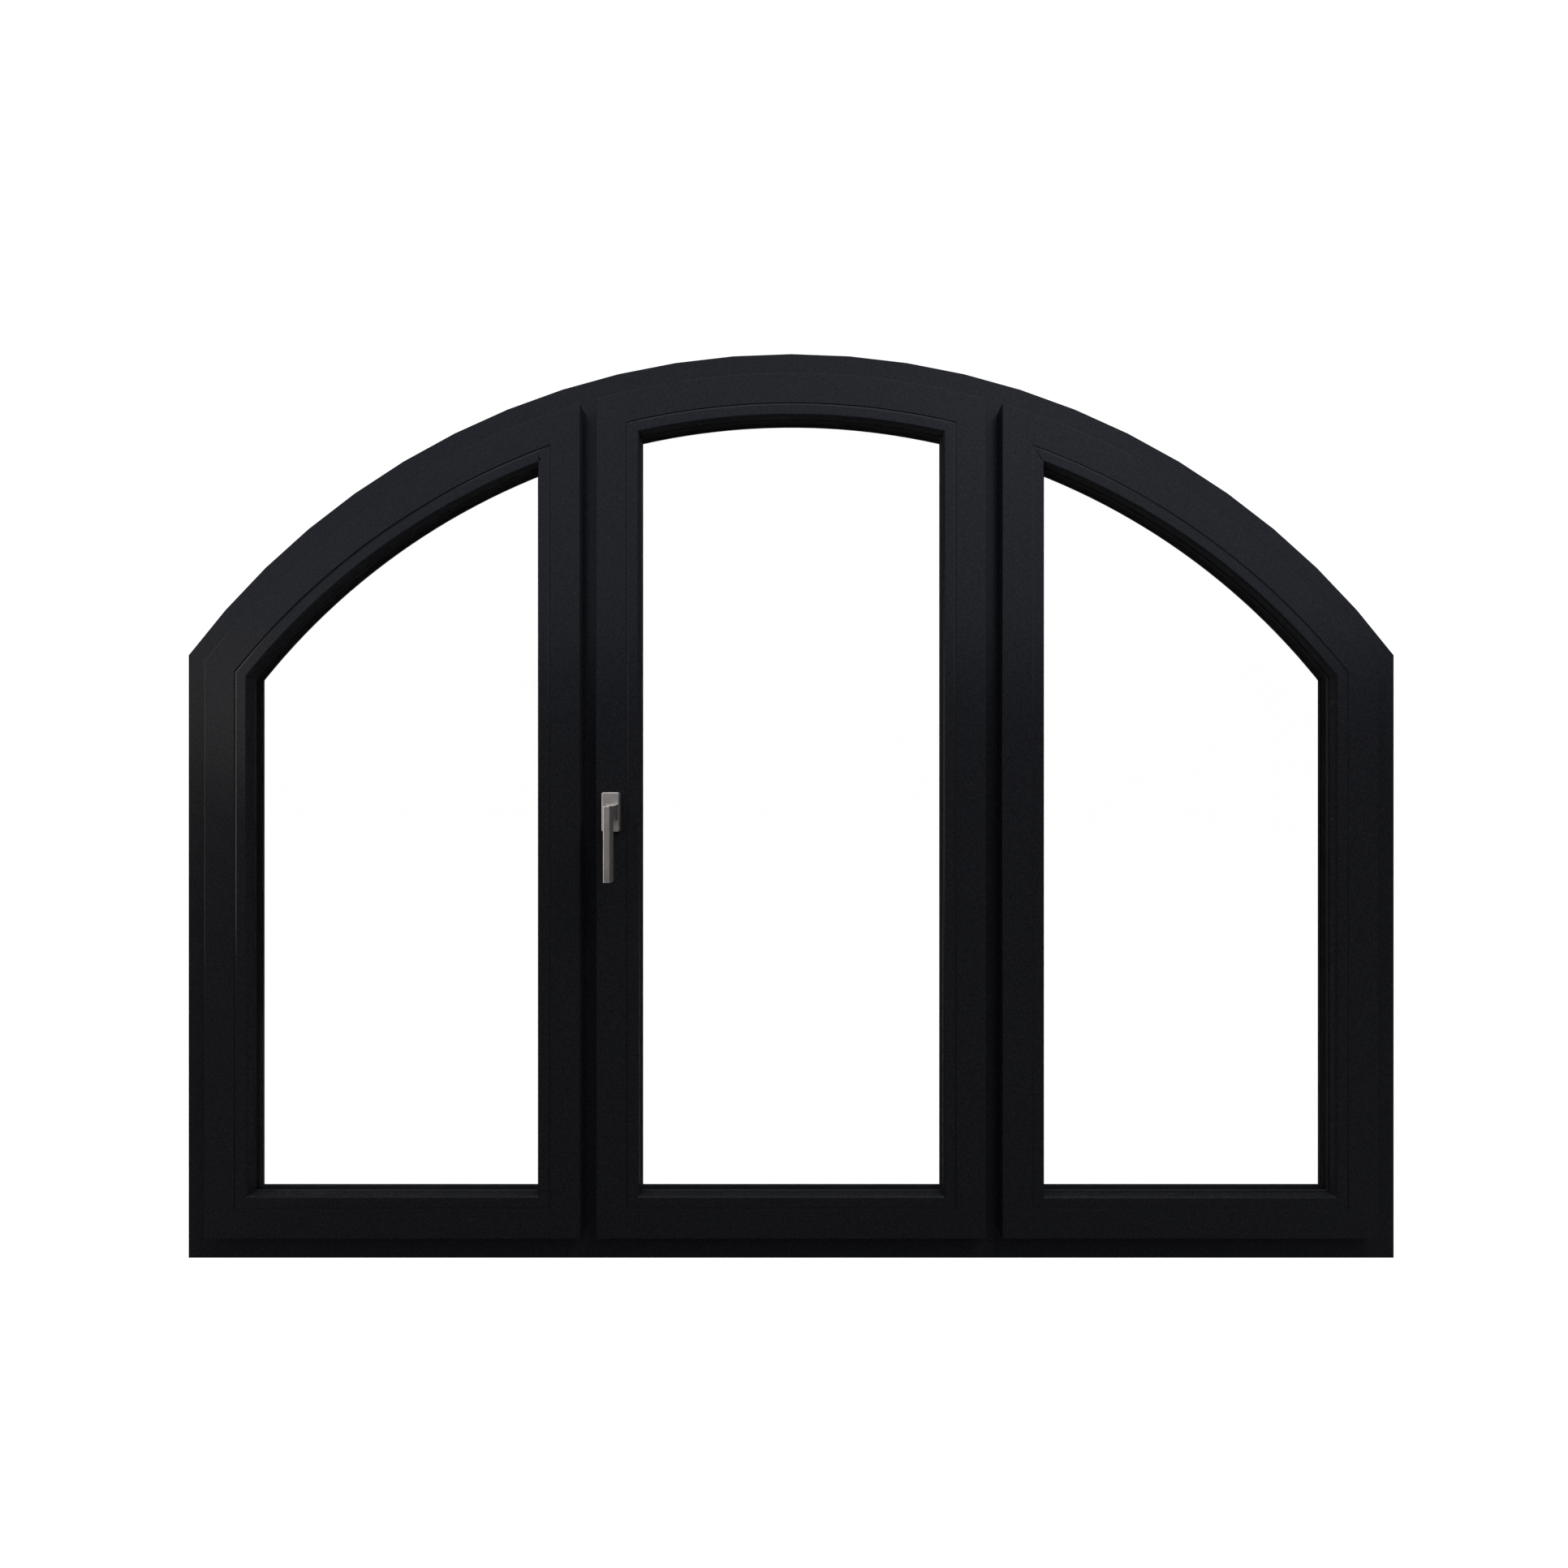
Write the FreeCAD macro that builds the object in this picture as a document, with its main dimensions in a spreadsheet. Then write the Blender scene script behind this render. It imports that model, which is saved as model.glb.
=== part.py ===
import FreeCAD
import Part
import Sketcher
import math
import os

# Arched top window: one frame with two mullions and three glazed sashes.
# Millimetres. X runs to the right as seen from the room, Z up, and Y points out of the room.
# The origin is on the underside of the sill, at mid width and mid depth of the frame.

DRIVING_SIZES = [
    ("overall_width", 2000.0),
    ("overall_height", 1500.0),
    ("springing_height", 1000.0),
    ("frame_depth", 60.0),
    ("frame_face_width", 46.0),
    ("sash_overlap", 8.0),
    ("seal_land_depth", 3.0),
    ("frame_lip_reach", 16.0),
    ("frame_lip_thickness", 15.0),
    ("frame_lip_chamfer", 3.0),
    ("head_chord_count", 24.0),
    ("mullion_offset", 330.1),
    ("sash_spacing", 26.8),
    ("sash_projection", 21.0),
    ("sash_depth", 60.0),
    ("sash_flange_thickness", 18.0),
    ("sash_running_gap", 4.0),
    ("sash_face_width", 48.5),
    ("sash_edge_rounding", 1.0),
    ("sash_rebate_rounding", 0.5),
    ("bead_width", 20.8),
    ("bead_depth", 13.5),
    ("bead_rounding", 3.0),
    ("bead_joint_rounding", 0.8),
    ("inner_gasket_thickness", 3.0),
    ("inner_gasket_width", 9.0),
    ("inner_gasket_projection", 1.7),
    ("pane_thickness", 4.0),
    ("pane_spacing", 8.0),
    ("pane_edge_clearance", 5.0),
    ("spacer_width", 14.0),
    ("outer_gasket_thickness", 1.9),
    ("outer_gasket_width", 9.0),
    ("glazing_lip_setback", 1.7),
    ("glazing_lip_nose", 1.0),
    ("seal_width", 6.0),
    ("seal_inset", 1.0),
    ("drain_height", 22.0),
    ("drain_slot_width", 28.0),
    ("drain_slot_height", 5.0),
    ("drain_slot_depth", 20.0),
    ("drain_cap_width", 42.0),
    ("drain_cap_height", 12.0),
    ("drain_cap_thickness", 4.0),
    ("drain_cap_corner", 3.0),
    ("drain_cap_chamfer", 1.5),
    ("drain_mouth_width", 30.0),
    ("drain_mouth_depth", 2.2),
    ("handle_backset", 25.5),
    ("handle_height", 740.0),
    ("handle_plate_width", 28.0),
    ("handle_plate_height", 63.6),
    ("handle_plate_thickness", 10.0),
    ("handle_plate_corner", 2.5),
    ("handle_plate_rounding", 1.5),
    ("handle_projection", 58.0),
    ("lever_width", 10.2),
    ("lever_depth", 20.0),
    ("lever_reach", 108.3),
    ("lever_head", 9.6),
    ("lever_rounding", 1.2),
    ("lever_inset", 0.7),
    ("neck_foot_width", 20.0),
    ("neck_foot_height", 25.5),
    ("neck_head_width", 12.0),
    ("neck_head_height", 21.0),
    ("neck_gap", 0.3),
    ("spindle_size", 7.0),
    ("spindle_length", 50.0),
    ("spindle_socket_depth", 14.0),
    ("spindle_play", 0.1),
    ("spindle_bore", 12.0),
    ("spindle_end_gap", 1.3),
]

# Distance by which cutting outlines run past the material, and the same for arcs in degrees.
CUT_MARGIN = 40.0
ARC_MARGIN = 2.0
# Number of flats that make up a rounded edge of a profile.
ROUNDING_CHORDS = 3
SMALL = 1e-4


class Size:
    """A number together with the expression that gives it."""

    def __init__(self, text, value):
        self.text = text
        self.value = float(value)

    def __add__(self, other):
        other = as_size(other)
        return Size(f"({self.text} + {other.text})", self.value + other.value)

    def __sub__(self, other):
        other = as_size(other)
        return Size(f"({self.text} - {other.text})", self.value - other.value)

    def __mul__(self, other):
        other = as_size(other)
        return Size(f"({self.text} * {other.text})", self.value * other.value)

    def __truediv__(self, other):
        other = as_size(other)
        return Size(f"({self.text} / {other.text})", self.value / other.value)

    def __neg__(self):
        return Size(f"(0 - {self.text})", -self.value)


def as_size(number):
    if isinstance(number, Size):
        return number
    return Size(repr(float(number)), number)


def root_of(size):
    return Size(f"sqrt({size.text})", math.sqrt(size.value))


document = FreeCAD.newDocument("arched_window")


def compute(body, *features):
    """Bring one body and its newest features up to date."""
    for feature in features:
        feature.recompute()
        if "Invalid" in feature.State or "Error" in feature.State:
            raise RuntimeError(f"{feature.Name} did not compute")
    body.recompute()


# Spreadsheet of driving dimensions, and a second one of sizes worked out from them.

driving_sheet = document.addObject("Spreadsheet::Sheet", "Sizes")
layout_sheet = document.addObject("Spreadsheet::Sheet", "Layout")
size_of = {}
for row_number, (alias, number) in enumerate(DRIVING_SIZES, start=1):
    driving_sheet.set(f"A{row_number}", alias)
    driving_sheet.set(f"B{row_number}", str(number))
    driving_sheet.setAlias(f"B{row_number}", alias)
    size_of[alias] = Size(f"Sizes.{alias}", number)

driving_sheet.recompute()
layout_rows = []


def layout(alias, size):
    """Keep a worked-out size as a named cell and return it."""
    layout_rows.append(alias)
    row = len(layout_rows)
    layout_sheet.set(f"A{row}", alias)
    layout_sheet.set(f"B{row}", f"={size.text}")
    layout_sheet.setAlias(f"B{row}", alias)
    layout_sheet.recompute()
    return Size(f"Layout.{alias}", size.value)


overall_height = size_of["overall_height"]
half_width = layout("half_width", size_of["overall_width"] / 2)
arch_rise = layout("arch_rise", overall_height - size_of["springing_height"])
arch_radius = layout(
    "arch_radius",
    (half_width * half_width + arch_rise * arch_rise) / (arch_rise * 2),
)
arch_centre = layout("arch_centre", overall_height - arch_radius)

frame_front = layout("frame_front", -(size_of["frame_depth"] / 2))
frame_back = layout("frame_back", size_of["frame_depth"] / 2)
seal_land = layout("seal_land", frame_front + size_of["seal_land_depth"])
frame_lip_front = layout("frame_lip_front", frame_back - size_of["frame_lip_thickness"])
frame_web_width = layout(
    "frame_web_width", size_of["frame_face_width"] + size_of["sash_overlap"]
)
frame_lip_width = layout("frame_lip_width", frame_web_width + size_of["frame_lip_reach"])

sash_front = layout("sash_front", frame_front - size_of["sash_projection"])
sash_back = layout("sash_back", sash_front + size_of["sash_depth"])
flange_back = layout("flange_back", sash_front + size_of["sash_flange_thickness"])
sash_web_start = layout(
    "sash_web_start", size_of["sash_overlap"] + size_of["sash_running_gap"]
)
bead_inner = layout("bead_inner", size_of["sash_face_width"] + size_of["bead_width"])
bead_back = layout("bead_back", sash_front + size_of["bead_depth"])
pane_front = layout("pane_front", bead_back + size_of["inner_gasket_thickness"])
spacer_front = layout("spacer_front", pane_front + size_of["pane_thickness"])
spacer_back = layout("spacer_back", spacer_front + size_of["pane_spacing"])
pane_back = layout("pane_back", spacer_back + size_of["pane_thickness"])
glazing_lip_front = layout("glazing_lip_front", pane_back + size_of["outer_gasket_thickness"])
glazing_lip_inner = layout("glazing_lip_inner", bead_inner - size_of["glazing_lip_setback"])
glazing_lip_bevel = layout(
    "glazing_lip_bevel", sash_back - glazing_lip_front - size_of["glazing_lip_nose"]
)
pane_edge = layout(
    "pane_edge", size_of["sash_face_width"] + size_of["pane_edge_clearance"]
)
inner_gasket_inner = layout(
    "inner_gasket_inner", bead_inner + size_of["inner_gasket_projection"]
)

cut_depth = layout("cut_depth", (size_of["frame_depth"] + size_of["sash_depth"]) * 4)

# Outer edges of each sash.
sash_radius = layout("sash_radius", arch_radius - size_of["frame_face_width"])
sash_bottom = size_of["frame_face_width"]
side_sash_outer = layout("side_sash_outer", half_width - size_of["frame_face_width"])
side_sash_inner = layout(
    "side_sash_inner", size_of["mullion_offset"] + size_of["sash_spacing"] / 2
)
centre_sash_half = layout(
    "centre_sash_half", size_of["mullion_offset"] - size_of["sash_spacing"] / 2
)

SASHES = {
    "left": (-side_sash_outer, -side_sash_inner),
    "centre": (-centre_sash_half, centre_sash_half),
    "right": (side_sash_inner, side_sash_outer),
}


# Helpers for bodies and sketches in the plane of the window

def new_body(name):
    body = document.addObject("PartDesign::Body", name)
    body.Label = name
    return body


def origin_plane(body, role):
    for feature in body.Origin.OriginFeatures:
        if feature.Role == role:
            return feature
    raise RuntimeError(f"{body.Label}: no {role}")


def facade_sketch(body, name, depth):
    """A sketch in X and Z whose plane lies at the given Y."""
    sketch = body.newObject("Sketcher::SketchObject", f"{body.Name}_{name}")
    sketch.AttachmentSupport = [(origin_plane(body, "XZ_Plane"), "")]
    sketch.MapMode = "FlatFace"
    sketch.AttachmentOffset = FreeCAD.Placement(
        FreeCAD.Vector(0, 0, -depth.value), FreeCAD.Rotation()
    )
    sketch.setExpression("AttachmentOffset.Base.z", (-depth).text)
    return sketch


def bind(sketch, kind, references, size):
    """Add a dimension to a sketch and tie it to the sheets."""
    index = sketch.addConstraint(Sketcher.Constraint(kind, *references, size.value))
    sketch.setExpression(f"Constraints[{index}]", size.text)


def direction_to(corner, other):
    """Signs of the way from a corner to its neighbour along an axis."""
    across = other[0].value - corner[0].value
    along = other[1].value - corner[1].value
    if abs(across) > abs(along):
        return (math.copysign(1, across), 0)
    return (0, math.copysign(1, along))


def rounded_corner(corner, before, after, radius):
    """Points of the short chords that round off a square corner."""
    back = direction_to(corner, before)
    ahead = direction_to(corner, after)
    points = []
    for step in range(ROUNDING_CHORDS + 1):
        turn = math.pi / 2 * step / ROUNDING_CHORDS
        reach_back = radius * (1 - math.sin(turn))
        reach_ahead = radius * (1 - math.cos(turn))
        points.append(tuple(
            corner[axis] + reach_back * back[axis] + reach_ahead * ahead[axis]
            for axis in (0, 1)
        ))
    return points


def add_outline(sketch, corners):
    """Closed outline of straight lines with every corner tied to the sheets."""
    lines = []
    count = len(corners)
    for index, (x, y) in enumerate(corners):
        next_x, next_y = corners[(index + 1) % count]
        segment = Part.LineSegment(
            FreeCAD.Vector(x.value, y.value, 0), FreeCAD.Vector(next_x.value, next_y.value, 0)
        )
        lines.append(sketch.addGeometry(segment, False))
        bind(sketch, "DistanceX", (lines[-1], 1), x)
        bind(sketch, "DistanceY", (lines[-1], 1), y)
    for index in range(count):
        sketch.addConstraint(
            Sketcher.Constraint("Coincident", lines[index - 1], 2, lines[index], 1)
        )


def arc_height(radius, x):
    """Height of the arc of this radius above the origin, at x."""
    return arch_centre + root_of(radius * radius - x * x)


def add_arched_outline(sketch, left, right, bottom, radius):
    """Closed outline: two uprights, a level foot and an arc about the arch centre."""
    centre = FreeCAD.Vector(0, arch_centre.value, 0)
    foot_left = FreeCAD.Vector(left.value, bottom.value, 0)
    foot_right = FreeCAD.Vector(right.value, bottom.value, 0)
    top_left = FreeCAD.Vector(left.value, arc_height(radius, left).value, 0)
    top_right = FreeCAD.Vector(right.value, arc_height(radius, right).value, 0)
    start = math.atan2(top_right.y - centre.y, top_right.x)
    end = math.atan2(top_left.y - centre.y, top_left.x)
    circle = Part.Circle(centre, FreeCAD.Vector(0, 0, 1), radius.value)
    foot = sketch.addGeometry(Part.LineSegment(foot_left, foot_right), False)
    upright_right = sketch.addGeometry(Part.LineSegment(foot_right, top_right), False)
    arc = sketch.addGeometry(Part.ArcOfCircle(circle, start, end), False)
    upright_left = sketch.addGeometry(Part.LineSegment(top_left, foot_left), False)
    loop = [(foot, upright_right), (upright_right, arc), (arc, upright_left), (upright_left, foot)]
    for first, second in loop:
        sketch.addConstraint(Sketcher.Constraint("Coincident", first, 2, second, 1))
    sketch.addConstraint(Sketcher.Constraint("Horizontal", foot))
    sketch.addConstraint(Sketcher.Constraint("Vertical", upright_right))
    sketch.addConstraint(Sketcher.Constraint("Vertical", upright_left))
    sketch.addConstraint(Sketcher.Constraint("PointOnObject", arc, 3, -2))
    bind(sketch, "DistanceY", (arc, 3), arch_centre)
    bind(sketch, "Radius", (arc,), radius)
    bind(sketch, "DistanceX", (foot, 1), left)
    bind(sketch, "DistanceX", (foot, 2), right)
    bind(sketch, "DistanceY", (foot, 1), bottom)


def pad(body, sketch, thickness):
    """Thicken a facade sketch towards the room."""
    feature = body.newObject("PartDesign::Pad", f"{sketch.Name}_pad")
    feature.Profile = sketch
    feature.Length = thickness.value
    feature.setExpression("Length", thickness.text)
    body.Tip = feature
    compute(body, sketch, feature)
    return feature


def cut_through(body, sketch):
    """Cut a facade sketch right through the body, and check that it cut."""
    before = body.Shape.Volume
    feature = body.newObject("PartDesign::Pocket", f"{sketch.Name}_cut")
    feature.Profile = sketch
    feature.Length = cut_depth.value
    feature.setExpression("Length", cut_depth.text)
    feature.Midplane = True
    body.Tip = feature
    compute(body, sketch, feature)
    if body.Shape.Volume >= before - SMALL:
        raise RuntimeError(f"{feature.Name} removed nothing")
    return feature


def ring_layer(body, name, opening, outer, inner, front, back):
    """Pad one layer of a ring that follows the opening between two offsets."""
    left, right, bottom, radius = opening
    sketch = facade_sketch(body, name, back)
    for offset in (outer, inner):
        add_arched_outline(
            sketch, left + offset, right - offset, bottom + offset, radius - offset
        )
    return pad(body, sketch, back - front)


def panel_layer(body, name, opening, offset, front, back):
    """Pad one full panel that fills the opening inside an offset."""
    left, right, bottom, radius = opening
    sketch = facade_sketch(body, name, back)
    add_arched_outline(sketch, left + offset, right - offset, bottom + offset, radius - offset)
    return pad(body, sketch, back - front)


FRAME_OPENING = (-half_width, half_width, as_size(0), arch_radius)


def sash_opening(side):
    left, right = SASHES[side]
    return (left, right, sash_bottom, sash_radius)


def mitre_lines(opening, reach):
    """Ends of the four mitre lines, each running past the section at both ends."""
    left, right, bottom, radius = opening
    over = as_size(CUT_MARGIN)
    lines = {}
    for side, edge, inwards in (("left", left, 1), ("right", right, -1)):
        inner_x = edge + reach * inwards
        step_x = over * inwards
        outer_z = arc_height(radius, edge)
        inner_z = arc_height(radius - reach, inner_x)
        step_z = (inner_z - outer_z) * over / reach
        lines[f"top_{side}"] = (
            (edge - step_x, outer_z - step_z),
            (inner_x + step_x, inner_z + step_z),
        )
        lines[f"bottom_{side}"] = (
            (edge - step_x, bottom - over),
            (inner_x + step_x, bottom + reach + over),
        )
    return lines


def mitre(body, name, line, turn):
    """Cut off what lies beside a mitre line: to its left for turn 1, to its right for -1."""
    (outer_x, outer_z), (inner_x, inner_z) = line
    across_x = (outer_z - inner_z) * turn
    across_z = (inner_x - outer_x) * turn
    sketch = facade_sketch(body, name, as_size(0))
    add_outline(sketch, [
        (outer_x, outer_z),
        (inner_x, inner_z),
        (inner_x + across_x, inner_z + across_z),
        (outer_x + across_x, outer_z + across_z),
    ])
    cut_through(body, sketch)


# A section is a list of corners, each an offset from the outer edge, a depth and a rounding.

def section_sketch(body, plane, section, place):
    sketch = body.newObject("Sketcher::SketchObject", f"{body.Name}_section")
    sketch.AttachmentSupport = [(origin_plane(body, plane), "")]
    sketch.MapMode = "FlatFace"
    corners = [place(as_size(offset), as_size(depth)) for offset, depth, radius in section]
    points = []
    for index, (corner, (offset, depth, radius)) in enumerate(zip(corners, section)):
        if radius:
            after = corners[(index + 1) % len(corners)]
            points += rounded_corner(corner, corners[index - 1], after, radius)
        else:
            points.append(corner)
    add_outline(sketch, points)
    return sketch


def straight_member(body, member, section, opening):
    """Draw the section along one straight side, past both of its corners."""
    left, right, bottom, radius = opening
    over = as_size(CUT_MARGIN) / 2
    if member == "bottom":
        sketch = section_sketch(body, "YZ_Plane", section, lambda v, y: (y, bottom + v))
        start = left - over
        length = right - left + over * 2
    elif member == "left":
        sketch = section_sketch(body, "XY_Plane", section, lambda v, y: (left + v, y))
        start = bottom - over
        length = arc_height(radius, left) - bottom + over * 2
    else:
        sketch = section_sketch(body, "XY_Plane", section, lambda v, y: (right - v, y))
        start = bottom - over
        length = arc_height(radius, right) - bottom + over * 2
    sketch.AttachmentOffset = FreeCAD.Placement(
        FreeCAD.Vector(0, 0, start.value), FreeCAD.Rotation()
    )
    sketch.setExpression("AttachmentOffset.Base.z", start.text)
    pad(body, sketch, length)


def arched_member(body, section, opening):
    """Turn the section about the arch axis, past both ends of the arc."""
    left, right, bottom, radius = opening
    sketch = section_sketch(body, "YZ_Plane", section, lambda v, y: (y, radius - v))
    left_angle = math.degrees(math.asin(left.value / radius.value))
    right_angle = math.degrees(math.asin(right.value / radius.value))
    left_text = f"asin({left.text} / {radius.text})"
    right_text = f"asin({right.text} / {radius.text})"
    middle = (left_angle + right_angle) / 2
    sketch.AttachmentOffset = FreeCAD.Placement(
        FreeCAD.Vector(0, arch_centre.value, 0), FreeCAD.Rotation(FreeCAD.Vector(1, 0, 0), middle)
    )
    sketch.setExpression("AttachmentOffset.Base.y", arch_centre.text)
    if abs(middle) > SMALL:
        sketch.setExpression("AttachmentOffset.Rotation.Angle",
                             f"({left_text} + {right_text}) / 2")
    feature = body.newObject("PartDesign::Revolution", f"{body.Name}_turn")
    feature.Profile = sketch
    feature.ReferenceAxis = (sketch, ["H_Axis"])
    feature.Midplane = True
    feature.Angle = right_angle - left_angle + ARC_MARGIN
    feature.setExpression("Angle", f"{right_text} - {left_text} + {ARC_MARGIN} deg")
    body.Tip = feature
    compute(body, sketch, feature)


MITRED_ENDS = {
    "bottom": (("bottom_left", 1), ("bottom_right", -1)),
    "left": (("bottom_left", -1), ("top_left", 1)),
    "right": (("bottom_right", 1), ("top_right", -1)),
    "arched": (("top_left", -1), ("top_right", 1)),
}


def profile_member(name, member, section, opening, reach, finish=None):
    """One mitred member of a frame, a sash or a set of beads."""
    body = new_body(name)
    if member == "arched":
        arched_member(body, section, opening)
    else:
        straight_member(body, member, section, opening)
    if finish:
        finish(body)
    lines = mitre_lines(opening, reach)
    for end, turn in MITRED_ENDS[member]:
        mitre(body, f"{end}_mitre", lines[end], turn)
    return body


def edges_at(shape, depth, outline_test):
    """Names of the edges that lie in the plane y = depth and pass the test."""
    names = []
    for index, edge in enumerate(shape.Edges, start=1):
        middle = edge.valueAt((edge.FirstParameter + edge.LastParameter) / 2)
        ends_flat = all(abs(vertex.Y - depth) < SMALL for vertex in edge.Vertexes)
        if ends_flat and abs(middle.y - depth) < SMALL and outline_test(middle):
            names.append(f"Edge{index}")
    return names


# Outer frame: sill, two jambs and the arched head, mitred together

def facet_head(body):
    """Trim the head's outer edge to equal chords between its springing points."""
    chord_count = size_of["head_chord_count"]
    half_angle = math.asin(half_width.value / arch_radius.value)
    step = 2 * half_angle / chord_count.value
    half_angle_text = f"asin({half_width.text} / {arch_radius.text})"
    step_text = f"(2 * {half_angle_text} / {chord_count.text})"

    def arc_point(radius, angle, angle_text):
        return (
            Size(f"({radius.text} * sin({angle_text}))", radius.value * math.sin(angle)),
            Size(f"({radius.text} * cos({angle_text}))", radius.value * math.cos(angle)),
        )

    sketch = facade_sketch(body, "chord", as_size(0))
    sketch.setExpression("AttachmentOffset.Base.y", arch_centre.text)
    beyond = arch_radius + CUT_MARGIN
    second_angle = half_angle - step
    second_text = f"({half_angle_text} - {step_text})"
    add_outline(sketch, [
        arc_point(arch_radius, half_angle, half_angle_text),
        arc_point(beyond, half_angle, half_angle_text),
        arc_point(beyond, second_angle, second_text),
        arc_point(arch_radius, second_angle, second_text),
    ])
    first_cut = cut_through(body, sketch)
    before = body.Shape.Volume
    pattern = body.newObject("PartDesign::PolarPattern", f"{body.Name}_chords")
    pattern.Originals = [first_cut]
    pattern.Axis = (sketch, ["N_Axis"])
    pattern.Angle = math.degrees(step) * (chord_count.value - 1)
    pattern.setExpression("Angle", f"{step_text} * ({chord_count.text} - 1)")
    pattern.Occurrences = int(round(chord_count.value))
    pattern.setExpression("Occurrences", chord_count.text)
    body.Tip = pattern
    compute(body, pattern)
    if body.Shape.Volume >= before - SMALL:
        raise RuntimeError("the chords of the head removed nothing")


def rectangle(left, right, bottom, top):
    return [(left, bottom), (right, bottom), (right, top), (left, top)]


# Two drain slots below each sash, at a quarter of its width from either side.
drain_places = []
for left, right in SASHES.values():
    drain_places += [left + (right - left) / 4, right - (right - left) / 4]


def cut_drain_slots(body):
    """Blind slots in the outer face of the sill."""
    before = body.Shape.Volume
    half_width_of_slot = size_of["drain_slot_width"] / 2
    half_height_of_slot = size_of["drain_slot_height"] / 2
    sketch = facade_sketch(body, "drains", frame_back)
    for place in drain_places:
        add_outline(sketch, rectangle(
            place - half_width_of_slot, place + half_width_of_slot,
            size_of["drain_height"] - half_height_of_slot,
            size_of["drain_height"] + half_height_of_slot,
        ))
    feature = body.newObject("PartDesign::Pocket", f"{sketch.Name}_cut")
    feature.Profile = sketch
    feature.Reversed = True
    feature.Length = size_of["drain_slot_depth"].value
    feature.setExpression("Length", size_of["drain_slot_depth"].text)
    body.Tip = feature
    compute(body, sketch, feature)
    if body.Shape.Volume >= before - SMALL:
        raise RuntimeError("the drain slots removed nothing")


MEMBER_NAMES = {
    "bottom": "bottom_rail",
    "left": "left_stile",
    "right": "right_stile",
    "arched": "arched_rail",
}

lip_chamfer = size_of["frame_lip_chamfer"]
FRAME_SECTION = [
    (0, frame_front, None),
    (size_of["frame_face_width"], frame_front, None),
    (size_of["frame_face_width"], seal_land, None),
    (frame_web_width, seal_land, None),
    (frame_web_width, frame_lip_front, None),
    (frame_lip_width, frame_lip_front, None),
    (frame_lip_width, frame_back - lip_chamfer, None),
    (frame_lip_width - lip_chamfer, frame_back, None),
    (0, frame_back, None),
]
FRAME_NAMES = {
    "bottom": "frame_sill",
    "left": "frame_left_jamb",
    "right": "frame_right_jamb",
    "arched": "frame_arched_head",
}
FRAME_FINISHES = {"bottom": cut_drain_slots, "arched": facet_head}
frame_members = [
    profile_member(name, member, FRAME_SECTION, FRAME_OPENING, frame_lip_width,
                   FRAME_FINISHES.get(member))
    for member, name in FRAME_NAMES.items()
]


# Mullions: a face strip, a web and two outer lips, coped to the sill and the head

def mullion(name, centre):
    body = new_body(name)
    face_half = size_of["sash_spacing"] / 2
    web_half = face_half + size_of["sash_overlap"]
    lip_half = web_half + size_of["frame_lip_reach"]
    layers = [
        ("face", face_half, size_of["frame_face_width"], frame_front, seal_land),
        ("web", web_half, frame_web_width, seal_land, frame_lip_front),
        ("lip", lip_half, frame_lip_width, frame_lip_front, frame_back),
    ]
    for layer_name, half, cope, front, back in layers:
        sketch = facade_sketch(body, layer_name, back)
        add_arched_outline(sketch, centre - half, centre + half, cope, arch_radius - cope)
        pad(body, sketch, back - front)
    base = body.Tip
    names = []
    for side in (centre - lip_half, centre + lip_half):
        names += edges_at(
            body.Shape, frame_back.value, lambda point, x=side.value: abs(point.x - x) < SMALL
        )
    chamfer = body.newObject("PartDesign::Chamfer", f"{name}_lip_chamfer")
    chamfer.Base = (base, names)
    chamfer.Size = size_of["frame_lip_chamfer"].value
    chamfer.setExpression("Size", size_of["frame_lip_chamfer"].text)
    body.Tip = chamfer
    compute(body, chamfer)
    return body


left_mullion = mullion("left_mullion", -size_of["mullion_offset"])
right_mullion = mullion("right_mullion", size_of["mullion_offset"])


# Sashes: each member has a face flange, a web and a bevelled glazing lip

handle_x = layout("handle_x", size_of["handle_backset"] - centre_sash_half)
handle_z = size_of["handle_height"]
plate_front = layout("plate_front", sash_front - size_of["handle_plate_thickness"])
neck_foot = layout("neck_foot", plate_front - size_of["neck_gap"])
spindle_front = layout("spindle_front", neck_foot - size_of["spindle_socket_depth"])
stile_bore_depth = layout(
    "stile_bore_depth",
    spindle_front + size_of["spindle_length"] + size_of["spindle_end_gap"] - sash_front,
)


def add_circle(sketch, x, z, diameter):
    circle = sketch.addGeometry(
        Part.Circle(FreeCAD.Vector(x.value, z.value, 0), FreeCAD.Vector(0, 0, 1),
                    diameter.value / 2),
        False,
    )
    bind(sketch, "DistanceX", (circle, 3), x)
    bind(sketch, "DistanceY", (circle, 3), z)
    bind(sketch, "Diameter", (circle,), diameter)


def bored_hole(body, name, depth_plane, depth):
    """Round hole for the spindle, cut away from the room."""
    before = body.Shape.Volume
    sketch = facade_sketch(body, name, depth_plane)
    add_circle(sketch, handle_x, handle_z, size_of["spindle_bore"])
    feature = body.newObject("PartDesign::Pocket", f"{sketch.Name}_cut")
    feature.Profile = sketch
    feature.Length = depth.value
    feature.setExpression("Length", depth.text)
    body.Tip = feature
    compute(body, sketch, feature)
    if body.Shape.Volume >= before - SMALL:
        raise RuntimeError(f"{feature.Name} removed nothing")


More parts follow.
